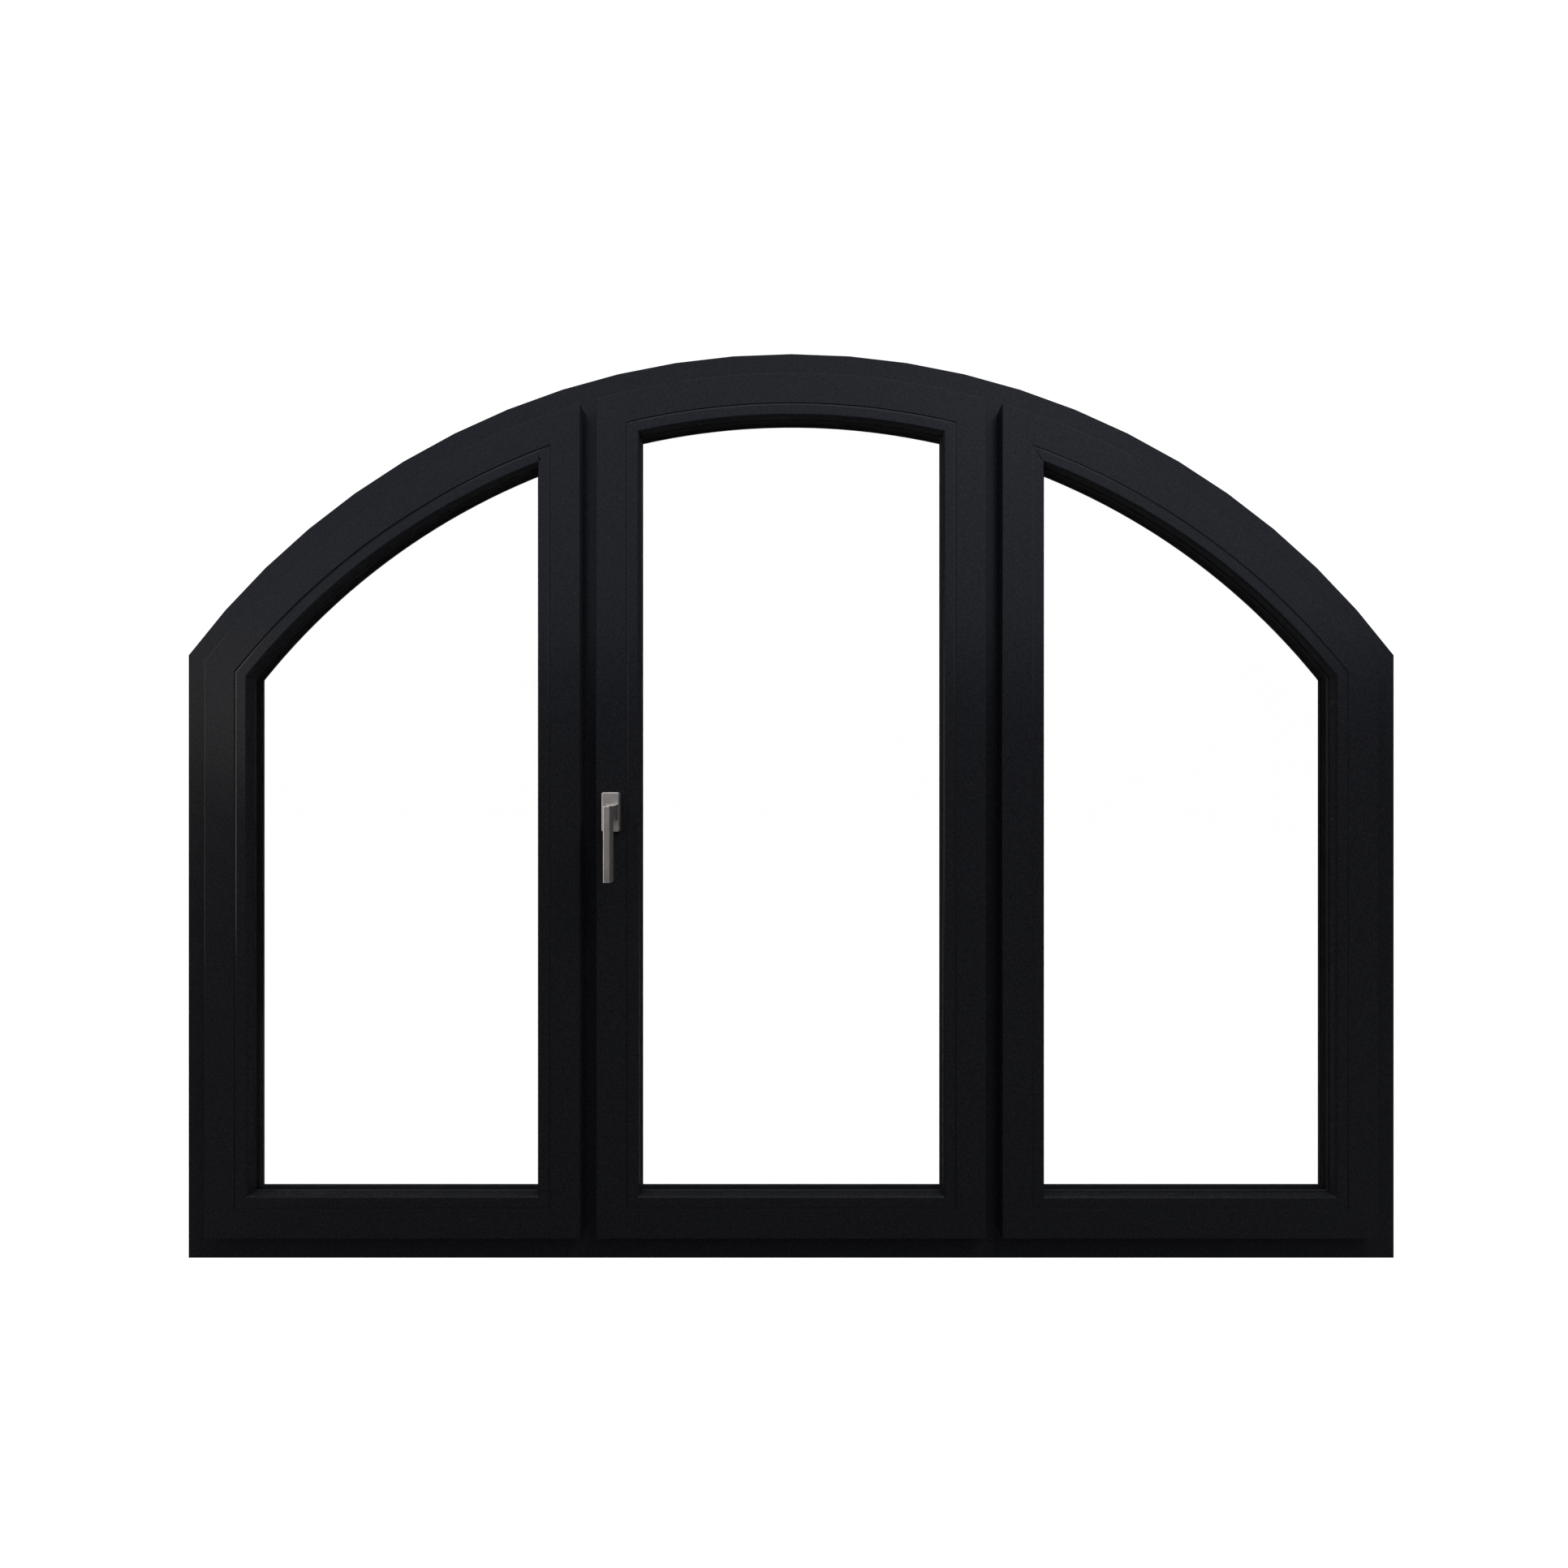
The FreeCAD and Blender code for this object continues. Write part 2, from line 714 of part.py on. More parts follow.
face_width = size_of["sash_face_width"]
SASH_SECTION = [
    (0, sash_front, size_of["sash_edge_rounding"]),
    (face_width, sash_front, size_of["sash_rebate_rounding"]),
    (face_width, glazing_lip_front, None),
    (glazing_lip_inner, glazing_lip_front, None),
    (glazing_lip_inner, sash_back - glazing_lip_bevel, None),
    (glazing_lip_inner - glazing_lip_bevel, sash_back, None),
    (sash_web_start, sash_back, None),
    (sash_web_start, flange_back, None),
    (0, flange_back, None),
]
BEAD_SECTION = [
    (face_width, sash_front, size_of["bead_joint_rounding"]),
    (bead_inner, sash_front, size_of["bead_rounding"]),
    (bead_inner, bead_back, None),
    (face_width, bead_back, None),
]


def bore_stile(body):
    """Blind hole behind the handle, for its spindle."""
    bored_hole(body, "bore", sash_front, stile_bore_depth)


sash_members = []
glazing_beads = []
for side in SASHES:
    opening = sash_opening(side)
    for member, member_name in MEMBER_NAMES.items():
        bears_handle = (side, member) == ("centre", "left")
        sash_members.append(profile_member(
            f"{side}_sash_{member_name}", member, SASH_SECTION, opening, bead_inner,
            bore_stile if bears_handle else None,
        ))
        glazing_beads.append(profile_member(
            f"{side}_sash_{member}_bead", member, BEAD_SECTION, opening, bead_inner,
        ))


# Glass units: two panes, spacer bars, and gaskets on both faces

def glass_pane(side, name, front, back):
    body = new_body(f"{side}_sash_{name}")
    panel_layer(body, "sheet", sash_opening(side), pane_edge, front, back)
    return body


def ring_set(name, outer, inner, front, back):
    """The same ring in all three sashes, kept as one sub-part."""
    rings = []
    for side in SASHES:
        ring = new_body(f"{side}_{name}")
        ring_layer(ring, "ring", sash_opening(side), outer, inner, front, back)
        rings.append(ring)
    group = document.addObject("Part::Compound", name)
    group.Label = name
    group.Links = rings
    group.recompute()
    return group


glass_panes = []
for side in SASHES:
    glass_panes.append(glass_pane(side, "inner_pane", pane_front, spacer_front))
    glass_panes.append(glass_pane(side, "outer_pane", spacer_back, pane_back))

spacer_bars = ring_set(
    "spacer_bars", pane_edge, pane_edge + size_of["spacer_width"], spacer_front, spacer_back
)
inner_gaskets = ring_set(
    "inner_glazing_gaskets", inner_gasket_inner - size_of["inner_gasket_width"],
    inner_gasket_inner, bead_back, pane_front,
)
outer_gaskets = ring_set(
    "outer_glazing_gaskets", glazing_lip_inner - size_of["outer_gasket_width"],
    glazing_lip_inner, pane_back, glazing_lip_front,
)


# Seals between the sashes and the frame

overlap_seals = ring_set(
    "overlap_seals", size_of["seal_inset"], size_of["seal_inset"] + size_of["seal_width"],
    flange_back, seal_land,
)
rebate_seal_outer = layout("rebate_seal_outer", sash_web_start + size_of["seal_inset"])
rebate_seals = ring_set(
    "rebate_seals", rebate_seal_outer, rebate_seal_outer + size_of["seal_width"],
    sash_back, frame_lip_front,
)


# Handle on the centre sash: plate, lever with its neck, and square spindle

plate_half_width = size_of["handle_plate_width"] / 2
plate_half_height = size_of["handle_plate_height"] / 2


def fillet_edges(body, name, names, radius):
    base = body.Tip
    feature = body.newObject("PartDesign::Fillet", f"{body.Name}_{name}")
    feature.Base = (base, names)
    feature.Radius = radius.value
    feature.setExpression("Radius", radius.text)
    body.Tip = feature
    compute(body, feature)


def edges_along_depth(shape):
    """Names of the straight edges that run square to the window."""
    names = []
    for index, edge in enumerate(shape.Edges, start=1):
        first, last = edge.Vertexes[0], edge.Vertexes[-1]
        if abs(first.X - last.X) < SMALL and abs(first.Z - last.Z) < SMALL:
            if abs(first.Y - last.Y) > SMALL:
                names.append(f"Edge{index}")
    return names


def drain_cap(number, place):
    """Hood over one drain slot, open towards the ground."""
    cap = new_body(f"drain_cap_{number}")
    half_cap = size_of["drain_cap_width"] / 2
    half_height_of_cap = size_of["drain_cap_height"] / 2
    bottom = size_of["drain_height"] - half_height_of_cap
    outline = facade_sketch(cap, "outline", cap_back)
    add_outline(outline, rectangle(
        place - half_cap, place + half_cap, bottom, size_of["drain_height"] + half_height_of_cap,
    ))
    pad(cap, outline, size_of["drain_cap_thickness"])
    fillet_edges(cap, "corners", edges_along_depth(cap.Shape), size_of["drain_cap_corner"])
    base = cap.Tip
    chamfer = cap.newObject("PartDesign::Chamfer", f"{cap.Name}_chamfer")
    chamfer.Base = (base, edges_at(cap.Shape, cap_back.value, lambda point: True))
    chamfer.Size = size_of["drain_cap_chamfer"].value
    chamfer.setExpression("Size", size_of["drain_cap_chamfer"].text)
    cap.Tip = chamfer
    compute(cap, chamfer)
    before = cap.Shape.Volume
    half_mouth = size_of["drain_mouth_width"] / 2
    mouth = facade_sketch(cap, "mouth", frame_back)
    add_outline(mouth, rectangle(
        place - half_mouth, place + half_mouth,
        bottom - CUT_MARGIN, size_of["drain_height"] + size_of["drain_slot_height"] / 2,
    ))
    hollow = cap.newObject("PartDesign::Pocket", f"{cap.Name}_hollow")
    hollow.Profile = mouth
    hollow.Length = size_of["drain_mouth_depth"].value
    hollow.setExpression("Length", size_of["drain_mouth_depth"].text)
    cap.Tip = hollow
    compute(cap, mouth, hollow)
    if cap.Shape.Volume >= before - SMALL:
        raise RuntimeError(f"{cap.Label} has no mouth")
    return cap


cap_back = layout("cap_back", frame_back + size_of["drain_cap_thickness"])
drain_caps = document.addObject("Part::Compound", "drain_caps")
drain_caps.Label = "drain_caps"
drain_caps.Links = [drain_cap(number, place) for number, place in enumerate(drain_places, start=1)]
drain_caps.recompute()

plate = new_body("handle_base_plate")
plate_sketch = facade_sketch(plate, "outline", sash_front)
add_outline(plate_sketch, rectangle(
    handle_x - plate_half_width, handle_x + plate_half_width,
    handle_z - plate_half_height, handle_z + plate_half_height,
))
pad(plate, plate_sketch, size_of["handle_plate_thickness"])
fillet_edges(plate, "corners", edges_along_depth(plate.Shape), size_of["handle_plate_corner"])
fillet_edges(
    plate, "rim", edges_at(plate.Shape, plate_front.value, lambda point: True),
    size_of["handle_plate_rounding"],
)
bored_hole(plate, "bore", plate_front, size_of["handle_plate_thickness"])

lever_right = layout("lever_right", handle_x + plate_half_width - size_of["lever_inset"])
lever_left = layout("lever_left", lever_right - size_of["lever_width"])
lever_top = layout("lever_top", handle_z + size_of["lever_head"])
lever_bottom = layout("lever_bottom", handle_z - size_of["lever_reach"])
lever_back = layout(
    "lever_back", sash_front - size_of["handle_projection"] + size_of["lever_depth"]
)
neck_half = size_of["neck_foot_height"] / 2

lever = new_body("handle_lever")
lever_sketch = facade_sketch(lever, "bar", lever_back)
add_outline(lever_sketch, rectangle(lever_left, lever_right, lever_bottom, lever_top))
pad(lever, lever_sketch, size_of["lever_depth"])
foot_sketch = facade_sketch(lever, "neck_foot", neck_foot)
add_outline(foot_sketch, rectangle(
    lever_right - size_of["neck_foot_width"], lever_right,
    handle_z - neck_half, handle_z + neck_half,
))
head_sketch = facade_sketch(lever, "neck_head", lever_back)
add_outline(head_sketch, rectangle(
    lever_right - size_of["neck_head_width"], lever_right,
    lever_top - size_of["neck_head_height"], lever_top,
))
neck = lever.newObject("PartDesign::AdditiveLoft", "handle_lever_neck")
neck.Profile = foot_sketch
neck.Sections = [head_sketch]
lever.Tip = neck
compute(lever, foot_sketch, head_sketch, neck)
fillet_edges(
    lever, "rounding",
    edges_at(lever.Shape, (lever_back - size_of["lever_depth"]).value, lambda point: True),
    size_of["lever_rounding"],
)
socket_half = size_of["spindle_size"] / 2 + size_of["spindle_play"]
socket_sketch = facade_sketch(lever, "socket", neck_foot)
add_outline(socket_sketch, rectangle(
    handle_x - socket_half, handle_x + socket_half,
    handle_z - socket_half, handle_z + socket_half,
))
volume_before = lever.Shape.Volume
socket = lever.newObject("PartDesign::Pocket", "handle_lever_socket")
socket.Profile = socket_sketch
socket.Reversed = True
socket.Length = size_of["spindle_socket_depth"].value
socket.setExpression("Length", size_of["spindle_socket_depth"].text)
lever.Tip = socket
compute(lever, socket_sketch, socket)
if lever.Shape.Volume >= volume_before - SMALL:
    raise RuntimeError("the spindle socket removed nothing")

spindle_half = size_of["spindle_size"] / 2
spindle = document.addObject("Part::Box", "handle_spindle")
spindle.Label = "handle_spindle"
spindle.setExpression("Length", size_of["spindle_size"].text)
spindle.setExpression("Width", size_of["spindle_length"].text)
spindle.setExpression("Height", size_of["spindle_size"].text)
spindle.setExpression("Placement.Base.x", (handle_x - spindle_half).text)
spindle.setExpression("Placement.Base.y", spindle_front.text)
spindle.setExpression("Placement.Base.z", (handle_z - spindle_half).text)
spindle.recompute()


# Check every object and write one file for each sub-part

sub_parts = [
    *frame_members, left_mullion, right_mullion,
    *sash_members, *glazing_beads, *glass_panes,
    spacer_bars, inner_gaskets, outer_gaskets, overlap_seals, rebate_seals,
    drain_caps, plate, lever, spindle,
]
for item in document.Objects:
    if "Invalid" in item.State or "Error" in item.State:
        raise RuntimeError(f"{item.Label} did not compute: {item.State}")
for sub_part in sub_parts:
    shape = sub_part.Shape
    if shape.isNull() or not shape.isValid():
        raise RuntimeError(f"{sub_part.Label} has no valid shape")

os.makedirs("parts", exist_ok=True)
for sub_part in sub_parts:
    sub_part.Shape.exportStep(os.path.join("parts", f"{sub_part.Label}.step"))
print(f"{len(sub_parts)} sub-parts written")
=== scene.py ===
"""Arched top window with three glazed sashes: finishes, gaskets, handle and studio."""

import math

import bmesh
import bpy
from bpy.props import FloatProperty, FloatVectorProperty, PointerProperty
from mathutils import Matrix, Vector


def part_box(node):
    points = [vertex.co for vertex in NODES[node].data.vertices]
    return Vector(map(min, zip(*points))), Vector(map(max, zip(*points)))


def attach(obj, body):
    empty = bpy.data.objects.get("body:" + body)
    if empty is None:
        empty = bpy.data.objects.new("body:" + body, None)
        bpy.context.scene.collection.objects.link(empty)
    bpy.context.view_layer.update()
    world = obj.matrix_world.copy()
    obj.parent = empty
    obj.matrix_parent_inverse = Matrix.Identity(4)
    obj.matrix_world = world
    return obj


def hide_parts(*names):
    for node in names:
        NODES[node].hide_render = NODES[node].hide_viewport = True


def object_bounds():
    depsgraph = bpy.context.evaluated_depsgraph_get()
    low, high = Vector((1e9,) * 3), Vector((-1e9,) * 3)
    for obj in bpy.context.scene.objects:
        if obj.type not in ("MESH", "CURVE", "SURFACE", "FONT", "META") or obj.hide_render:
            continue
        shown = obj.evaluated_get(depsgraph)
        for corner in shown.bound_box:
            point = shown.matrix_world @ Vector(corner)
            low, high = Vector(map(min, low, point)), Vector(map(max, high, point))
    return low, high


bl_info = {
    "name": "Arched Window Dressing",
    "version": (1, 0, 0),
    "blender": (4, 5, 0),
    "location": "3D View > Sidebar > Window",
    "description": "Finishes, gaskets, handle and studio for an arched top window",
    "category": "Object",
}

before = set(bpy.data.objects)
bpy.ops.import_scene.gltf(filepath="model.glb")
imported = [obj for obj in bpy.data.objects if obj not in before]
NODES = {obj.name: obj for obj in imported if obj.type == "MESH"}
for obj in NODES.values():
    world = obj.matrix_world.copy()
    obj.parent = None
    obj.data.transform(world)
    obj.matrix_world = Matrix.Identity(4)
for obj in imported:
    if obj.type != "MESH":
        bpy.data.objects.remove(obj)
CAD_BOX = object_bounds()
SIDES = ("left", "centre", "right")


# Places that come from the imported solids, in metres

def sash_outline(side):
    """Outer edges of a sash: left, right, bottom, and the radius and height of its arch centre."""
    rail_low, rail_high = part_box(f"{side}_sash_bottom_rail")
    head_low, head_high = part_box("frame_arched_head")
    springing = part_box("frame_left_jamb")[1].z
    rise = head_high.z - springing
    radius = (head_high.x ** 2 + rise ** 2) / (2 * rise)
    centre = head_high.z - radius
    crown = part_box("centre_sash_arched_rail")[1].z
    return rail_low.x, rail_high.x, rail_low.z, crown - centre, centre


# Sizes and colours that can be changed

class WindowFinishes(bpy.types.PropertyGroup):
    profile_colour: FloatVectorProperty(
        name="Profile colour", description="Colour of frame and sash profiles",
        default=(0.0148, 0.0146, 0.0162), min=0.0, max=1.0, subtype="COLOR",
    )
    profile_grain: FloatProperty(
        name="Profile grain", description="Size of one grain of the matt profile surface",
        default=0.0021, min=0.0002, max=0.01, precision=4, subtype="DISTANCE", unit="LENGTH",
    )
    profile_relief: FloatProperty(
        name="Grain relief", description="Height of the grain of the profile surface",
        default=0.00006, min=0.0, max=0.001, precision=5, subtype="DISTANCE", unit="LENGTH",
    )
    profile_roughness: FloatProperty(
        name="Profile roughness", description="How matt the profiles are",
        default=0.25, min=0.05, max=1.0, subtype="FACTOR",
    )
    metal_colour: FloatVectorProperty(
        name="Handle colour", description="Colour of the handle's satin metal",
        default=(0.78, 0.705, 0.64), min=0.0, max=1.0, subtype="COLOR",
    )
    metal_roughness: FloatProperty(
        name="Handle roughness", description="How satin the handle's metal is",
        default=0.38, min=0.05, max=1.0, subtype="FACTOR",
    )
    bead_width: FloatProperty(
        name="Bead width", description="Width of the glazing bead's face",
        default=0.0208, min=0.01, max=0.0208, precision=4, subtype="DISTANCE", unit="LENGTH",
    )
    bead_gap: FloatProperty(
        name="Bead gap", description="Width of the groove between sash face and bead",
        default=0.0006, min=0.0002, max=0.002, precision=4, subtype="DISTANCE", unit="LENGTH",
    )
    bead_slope_width: FloatProperty(
        name="Bead slope", description="Width of the bead's gentle slope beside the groove",
        default=0.0034, min=0.001, max=0.006, precision=4, subtype="DISTANCE", unit="LENGTH",
    )
    bead_bevel: FloatProperty(
        name="Bead bevel", description="Width of the bead's bevel beside the glass",
        default=0.0024, min=0.0012, max=0.006, precision=4, subtype="DISTANCE", unit="LENGTH",
    )
    gasket_width: FloatProperty(
        name="Gasket width", description="From the gasket's foot to the lip on the glass",
        default=0.009, min=0.004, max=0.009, precision=4, subtype="DISTANCE", unit="LENGTH",
    )
    seal_width: FloatProperty(
        name="Seal width", description="Width of the bulb seals round the sashes",
        default=0.006, min=0.003, max=0.006, precision=4, subtype="DISTANCE", unit="LENGTH",
    )
    glass_tint: FloatVectorProperty(
        name="Glass tint", description="Colour of the glass seen edge on",
        default=(0.78, 0.90, 0.86), min=0.0, max=1.0, subtype="COLOR",
    )


class WindowStudio(bpy.types.PropertyGroup):
    camera_distance: FloatProperty(
        name="Camera distance", description="From the camera to the middle of the window",
        default=1.037, min=0.3, max=10.0, subtype="DISTANCE", unit="LENGTH",
    )
    focal_length: FloatProperty(
        name="Focal length", description="Lens of the camera, in millimetres on a 36 mm sensor",
        default=13.93, min=8.0, max=200.0, unit="CAMERA",
    )
    shift_right: FloatProperty(
        name="Shift right", description="Shift of the picture's middle, as a share of its width",
        default=-8.85 / 1932, min=-1.0, max=1.0, precision=5,
    )
    shift_up: FloatProperty(
        name="Shift up", description="Shift of the picture's middle, as a share of its width",
        default=26.97 / 1932, min=-1.0, max=1.0, precision=5,
    )
    front_power: FloatProperty(
        name="Front panel", description="Power of the wide cool panel high in front",
        default=52.0, min=0.0, max=1000.0, unit="POWER",
    )
    side_power: FloatProperty(
        name="Side panel", description="Power of the warm panel on the left in front",
        default=6.3, min=0.0, max=1000.0, unit="POWER",
    )
    key_power: FloatProperty(
        name="Key light", description="Power of the soft light above on the right",
        default=34.0, min=0.0, max=1000.0, unit="POWER",
    )
    left_power: FloatProperty(
        name="Left softbox", description="Power of the warm softbox beside the window",
        default=43.0, min=0.0, max=1000.0, unit="POWER",
    )
    overhead_power: FloatProperty(
        name="Overhead softbox", description="Power of the cool softbox above the window",
        default=55.0, min=0.0, max=1000.0, unit="POWER",
    )
    rear_power: FloatProperty(
        name="Rear lights", description="Power of each of the two lights behind the window",
        default=36.0, min=0.0, max=1000.0, unit="POWER",
    )
    ambient: FloatProperty(
        name="Ambient light", description="Strength of the even light round the window",
        default=0.04, min=0.0, max=2.0,
    )


def settings():
    return bpy.context.scene.window_finishes, bpy.context.scene.window_studio


# Node tools for materials

def new_material(name):
    material = bpy.data.materials.new(name)
    material.use_nodes = True
    nodes = material.node_tree.nodes
    return material, nodes, material.node_tree.links, nodes["Principled BSDF"]


def add_noise(nodes, links, coordinate, size, detail=2.0):
    """Noise whose grains measure the given size in metres."""
    noise = nodes.new("ShaderNodeTexNoise")
    noise.inputs["Scale"].default_value = 1 / size
    noise.inputs["Detail"].default_value = detail
    links.new(coordinate, noise.inputs["Vector"])
    return noise.outputs["Fac"]


def add_range(nodes, links, value, low, high, start=0.3, end=0.7):
    spread = nodes.new("ShaderNodeMapRange")
    spread.inputs["From Min"].default_value = start
    spread.inputs["From Max"].default_value = end
    spread.inputs["To Min"].default_value = low
    spread.inputs["To Max"].default_value = high
    links.new(value, spread.inputs["Value"])
    return spread.outputs["Result"]


def add_tones(nodes, links, value, dark, light):
    """Colour between two tones, by a value."""
    ramp = nodes.new("ShaderNodeValToRGB")
    ramp.color_ramp.elements[0].position = 0.3
    ramp.color_ramp.elements[0].color = (*dark, 1)
    ramp.color_ramp.elements[1].position = 0.7
    ramp.color_ramp.elements[1].color = (*light, 1)
    links.new(value, ramp.inputs["Fac"])
    return ramp.outputs["Color"]


def add_bump(nodes, links, height, distance, shader):
    """Relief of the given height in metres."""
    bump = nodes.new("ShaderNodeBump")
    bump.inputs["Strength"].default_value = 1.0
    bump.inputs["Distance"].default_value = distance
    links.new(height, bump.inputs["Height"])
    links.new(bump.outputs["Normal"], shader.inputs["Normal"])


def shaded(colour, factor):
    return tuple(channel * factor for channel in colour)


def profile_material(name, tone=1.0):
    """Matt extruded plastic with a fine sandy grain; a tone above 1 paints light into it."""
    finishes, _ = settings()
    material, nodes, links, shader = new_material(name)
    place = nodes.new("ShaderNodeTexCoord").outputs["Object"]
    grain = add_noise(nodes, links, place, finishes.profile_grain, detail=3.0)
    cloud = add_noise(nodes, links, place, 0.045, detail=2.0)
    # A tone above 1 is painted light: a lighter copy of the same plastic, standing in for the light that
    # falls on it.
    colour = shaded(finishes.profile_colour, tone)
    tones = add_tones(nodes, links, grain, shaded(colour, 0.58), shaded(colour, 1.5))
    links.new(tones, shader.inputs["Base Color"])
    rough = add_range(
        nodes, links, cloud, finishes.profile_roughness - 0.02, finishes.profile_roughness + 0.03
    )
    links.new(rough, shader.inputs["Roughness"])
    shader.inputs["Specular IOR Level"].default_value = 0.10
    add_bump(nodes, links, grain, finishes.profile_relief, shader)
    return material


def rubber_material(name, colour=(0.013, 0.013, 0.014), specular=0.35):
    """Dull black rubber with a fine grain and soft smears."""
    material, nodes, links, shader = new_material(name)
    place = nodes.new("ShaderNodeTexCoord").outputs["Object"]
    grain = add_noise(nodes, links, place, 0.0008, detail=3.0)
    smear = add_noise(nodes, links, place, 0.02, detail=2.0)
    links.new(add_tones(nodes, links, smear, shaded(colour, 0.7), shaded(colour, 1.4)),
              shader.inputs["Base Color"])
    links.new(add_range(nodes, links, smear, 0.5, 0.68), shader.inputs["Roughness"])
    shader.inputs["Specular IOR Level"].default_value = specular
    add_bump(nodes, links, grain, 0.00004, shader)
    return material


def metal_material(name, colour, roughness, metallic=1.0):
    """Satin bead blasted metal."""
    material, nodes, links, shader = new_material(name)
    place = nodes.new("ShaderNodeTexCoord").outputs["Object"]
    grain = add_noise(nodes, links, place, 0.00045, detail=3.0)
    cloud = add_noise(nodes, links, place, 0.012, detail=2.0)
    links.new(add_tones(nodes, links, grain, shaded(colour, 0.9), shaded(colour, 1.08)),
              shader.inputs["Base Color"])
    links.new(add_range(nodes, links, cloud, roughness - 0.03, roughness + 0.04),
              shader.inputs["Roughness"])
    shader.inputs["Metallic"].default_value = metallic
    add_bump(nodes, links, grain, 0.000012, shader)
    return material


def glass_material(name):
    """Clear glass that shows more of its surface at grazing angles."""
    finishes, _ = settings()
    material, nodes, links, shader = new_material(name)
    place = nodes.new("ShaderNodeTexCoord").outputs["Object"]
    haze = add_noise(nodes, links, place, 0.25, detail=1.0)
    links.new(add_tones(nodes, links, haze, shaded(finishes.glass_tint, 0.96), finishes.glass_tint),
              shader.inputs["Base Color"])
    links.new(add_range(nodes, links, haze, 0.01, 0.03), shader.inputs["Roughness"])
    edge = nodes.new("ShaderNodeLayerWeight")
    edge.inputs["Blend"].default_value = 0.25
    links.new(add_range(nodes, links, edge.outputs["Facing"], 0.025, 0.35, start=0.35, end=1.0),
              shader.inputs["Alpha"])
    shader.inputs["IOR"].default_value = 1.52
    shader.inputs["Transmission Weight"].default_value = 1.0
    return material


def coat(names, material):
    for name in names:
        slots = NODES[name].data.materials
        slots.clear()
        slots.append(material)


def named(*words):
    """CAD nodes whose name holds one of the words."""
    return [name for name in NODES if any(word in name for word in words)]


# Rings that follow a sash, drawn by geometry nodes from a line with its inward direction

def ring_path(name, sashes, offset, steps=48):
    """Closed lines at an offset inside the sash outlines, with the way that each point moves inwards."""
    points = []
    edges = []
    inward = []
    for side in sashes:
        left, right, bottom, radius, centre = sash_outline(side)
        left, right, bottom = left + offset, right - offset, bottom + offset
        radius = radius - offset
        start = math.asin(right / radius)
        end = math.asin(left / radius)
        first = len(points)
        count = max(8, round(steps * (start - end)))
        points += [(left, bottom), (right, bottom)]
        inward += [(1, 1), (-1, 1)]
        for index in range(count + 1):
            angle = start + (end - start) * index / count
            x, rise = radius * math.sin(angle), radius * math.cos(angle)
            points.append((x, centre + rise))
            if index == 0:
                inward.append((-1, (x - radius) / rise))
            elif index == count:
                inward.append((1, (-x - radius) / rise))
            else:
                inward.append((-math.sin(angle), -math.cos(angle)))
        total = len(points) - first
        edges += [(first + i, first + (i + 1) % total) for i in range(total)]
    mesh = bpy.data.meshes.new(name)
    mesh.from_pydata([(x, 0, z) for x, z in points], edges, [])
    attribute = mesh.attributes.new("inward", "FLOAT_VECTOR", "POINT")
    for item, (x, z) in zip(attribute.data, inward):
        item.vector = (x, 0, z)
    path = bpy.data.objects.new(name, mesh)
    bpy.context.scene.collection.objects.link(path)
    return path


